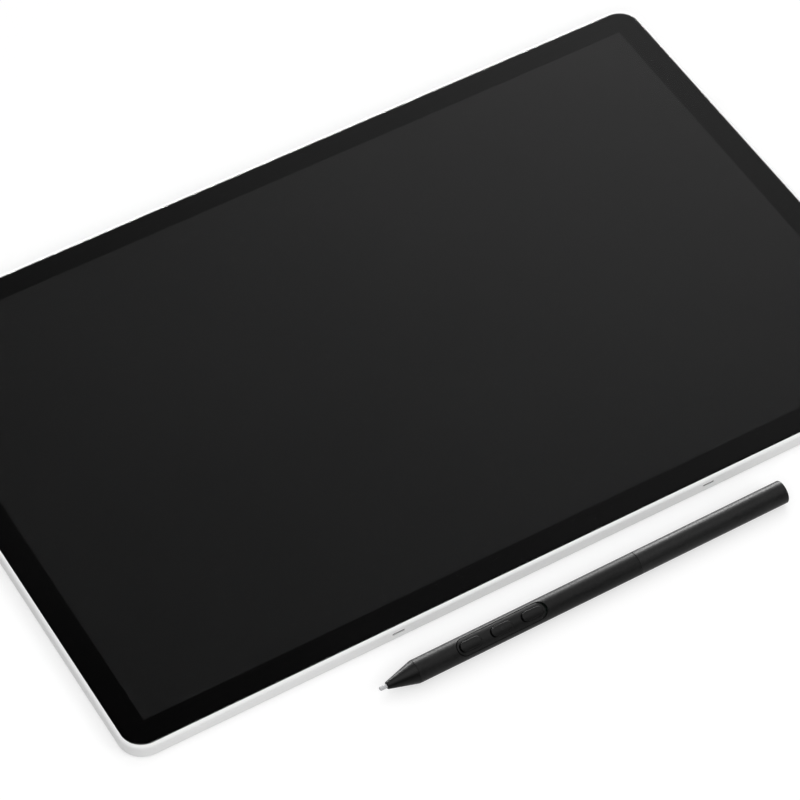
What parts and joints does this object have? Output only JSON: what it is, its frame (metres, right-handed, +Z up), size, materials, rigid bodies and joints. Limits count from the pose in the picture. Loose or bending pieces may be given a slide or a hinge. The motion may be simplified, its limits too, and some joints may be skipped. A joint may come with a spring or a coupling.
{
  "type": "graphics tablet with screen",
  "caption": "Thin graphics tablet with a dark screen under flush glass in a pale metal tray, with a black battery-free pen lying along its near side.",
  "frame": {"origin": "on the surface that the tablet and the pen rest on, below the middle of the box round both", "axes": "+X along the tablet's long side, from the pen's nib towards its tail; +Y from the pen towards the tablet's far side; +Z up"},
  "size_m": [0.3228, 0.2316, 0.0087],
  "materials": {
    "cover_shell": "fine bead-blasted, satin, pale silver",
    "foot_rubber": "matt moulded rubber",
    "frame_metal": "die-cast, plain",
    "screw_steel": "machined steel",
    "cover_glass": "clear, with a finely etched top",
    "mask_ink": "black printed ink",
    "bond_film": "clear resin",
    "adhesive": "black foam tape",
    "screen_panel": "switched off, near black",
    "sensor_board": "green solder mask",
    "shield_foil": "rolled foil",
    "graphite": "grey graphite film",
    "circuit_board": "dark green solder mask",
    "chip_resin": "moulded resin",
    "can_steel": "tinned sheet",
    "pad_silicone": "soft silicone",
    "battery_pouch": "aluminium laminate, slightly creased",
    "flex_film": "amber film",
    "speaker_case": "moulded",
    "mesh_steel": "black woven mesh",
    "port_steel": "drawn steel",
    "port_blade": "moulded, with contacts",
    "switch_case": "moulded",
    "key_metal": "fine bead-blasted, satin",
    "nib_resin": "plain grey resin, slightly worn",
    "cone_resin": "black, half gloss",
    "barrel_resin": "black, fine matt texture",
    "tail_resin": "black, fine matt texture, a little smoother",
    "button_resin": "black, smooth matt",
    "chassis_resin": "moulded",
    "seal_rubber": "soft ring",
    "ferrite": "sintered ferrite",
    "copper_wire": "enamelled wire",
    "sensor_case": "ceramic",
    "puller_steel": "turned steel"
  },
  "bodies": {
    "tablet": {"rear_cover": "cover_shell", "rubber_feet": "foot_rubber", "mid_frame": "frame_metal", "frame_screws": "screw_steel", "cover_glass": "cover_glass", "border_mask": "mask_ink", "optical_bond": "bond_film", "glass_adhesive": "adhesive", "display_panel": "screen_panel", "digitizer_board": "sensor_board", "shield_sheet": "shield_foil", "heat_spreader": "graphite", "main_board": "circuit_board", "board_chips": "chip_resin", "chip_shields": "can_steel", "thermal_pads": "pad_silicone", "board_screws": "screw_steel", "battery_cells": "battery_pouch", "battery_flexes": "flex_film", "display_flex": "flex_film", "digitizer_flex": "flex_film", "speaker_units": "speaker_case", "speaker_meshes": "mesh_steel", "port_shell": "port_steel", "port_tongue": "port_blade", "key_switches": "switch_case"},
    "power_key": {"power_key": "key_metal"},
    "volume_up_key": {"volume_up_key": "key_metal"},
    "volume_down_key": {"volume_down_key": "key_metal"},
    "pen": {"nib_cone": "cone_resin", "front_barrel": "barrel_resin", "switch_plate": "barrel_resin", "pen_chassis": "chassis_resin", "barrel_seal": "seal_rubber", "coil_core": "ferrite", "coil_winding": "copper_wire", "pressure_sensor": "sensor_case", "pen_board": "circuit_board", "button_switches": "switch_case", "nib_rack": "chassis_resin", "spare_nibs": "nib_resin"},
    "nib": {"nib": "nib_resin", "nib_holder": "chassis_resin"},
    "front_button": {"front_button": "button_resin"},
    "middle_button": {"middle_button": "button_resin"},
    "rear_button": {"rear_button": "button_resin"},
    "rear_barrel": {"rear_barrel": "tail_resin", "nib_puller": "puller_steel"}
  },
  "joints": [
    {"name": "pen_lift", "type": "slide", "parent": "tablet", "child": "pen", "axis": [0, 0, 1], "range_m": [0, 0.12]},
    {"name": "rear_barrel_pull", "type": "slide", "parent": "pen", "child": "rear_barrel", "axis": [1, 0.0058, 0], "range_m": [0, 0.045]},
    {"name": "nib_press", "type": "slide", "parent": "pen", "child": "nib", "axis": [1, 0.0058, 0], "range_m": [0, 0.0003], "stiffness_N_per_m": 3000, "springref_m": -0.0001},
    {"name": "front_button_press", "type": "slide", "parent": "pen", "child": "front_button", "axis": [-0.0029, 0.5, -0.866], "range_m": [0, 0.0003], "stiffness_N_per_m": 4000, "springref_m": -0.0001},
    {"name": "middle_button_press", "type": "slide", "parent": "pen", "child": "middle_button", "axis": [-0.0029, 0.5, -0.866], "range_m": [0, 0.0003], "stiffness_N_per_m": 4000, "springref_m": -0.0001},
    {"name": "rear_button_press", "type": "slide", "parent": "pen", "child": "rear_button", "axis": [-0.0029, 0.5, -0.866], "range_m": [0, 0.0003], "stiffness_N_per_m": 4000, "springref_m": -0.0001},
    {"name": "power_key_press", "type": "slide", "parent": "tablet", "child": "power_key", "axis": [0, -1, 0], "range_m": [0, 0.00025], "stiffness_N_per_m": 5000, "springref_m": -0.0001},
    {"name": "volume_up_press", "type": "slide", "parent": "tablet", "child": "volume_up_key", "axis": [0, -1, 0], "range_m": [0, 0.00025], "stiffness_N_per_m": 5000, "springref_m": -0.0001},
    {"name": "volume_down_press", "type": "slide", "parent": "tablet", "child": "volume_down_key", "axis": [0, -1, 0], "range_m": [0, 0.00025], "stiffness_N_per_m": 5000, "springref_m": -0.0001}
  ]
}
